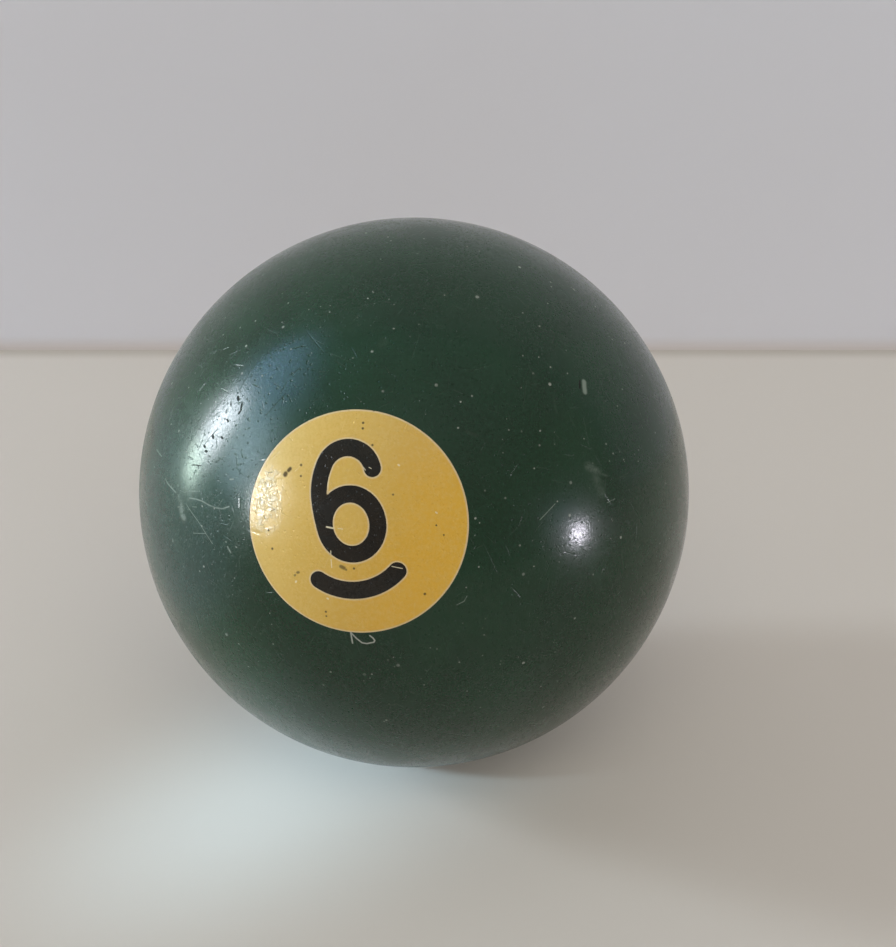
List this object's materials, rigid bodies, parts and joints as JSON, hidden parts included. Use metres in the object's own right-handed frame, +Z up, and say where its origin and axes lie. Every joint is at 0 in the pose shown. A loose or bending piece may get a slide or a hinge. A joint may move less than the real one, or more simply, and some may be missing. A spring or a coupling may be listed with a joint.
{
  "type": "numbered pool ball",
  "caption": "Solid-colour cast pool ball with a pale number plug, an inlaid numeral and an underline bar let in flush at each end of one diameter.",
  "frame": {"origin": "centre of the ball", "axes": "+Z up as the ball rests on a table, -Y towards the front number, +X to the right when facing the front number. The number axis lies in the YZ plane, with the front number tilted up 24.2 degrees from level and its numeral rolled 12.5 degrees anticlockwise"},
  "size_m": [0.0572, 0.0572, 0.0572],
  "materials": {
    "green_resin": "polished dark green cast phenolic resin, lightly worn and scratched",
    "cream_resin": "polished cream cast phenolic resin, yellowed with age",
    "black_resin": "polished black inlay resin, ground flush"
  },
  "bodies": {
    "root": {"ball_body": "green_resin", "number_plug_front": "cream_resin", "numeral_six_front": "black_resin", "underline_bar_front": "black_resin", "number_plug_back": "cream_resin", "numeral_six_back": "black_resin", "underline_bar_back": "black_resin"}
  },
  "joints": []
}
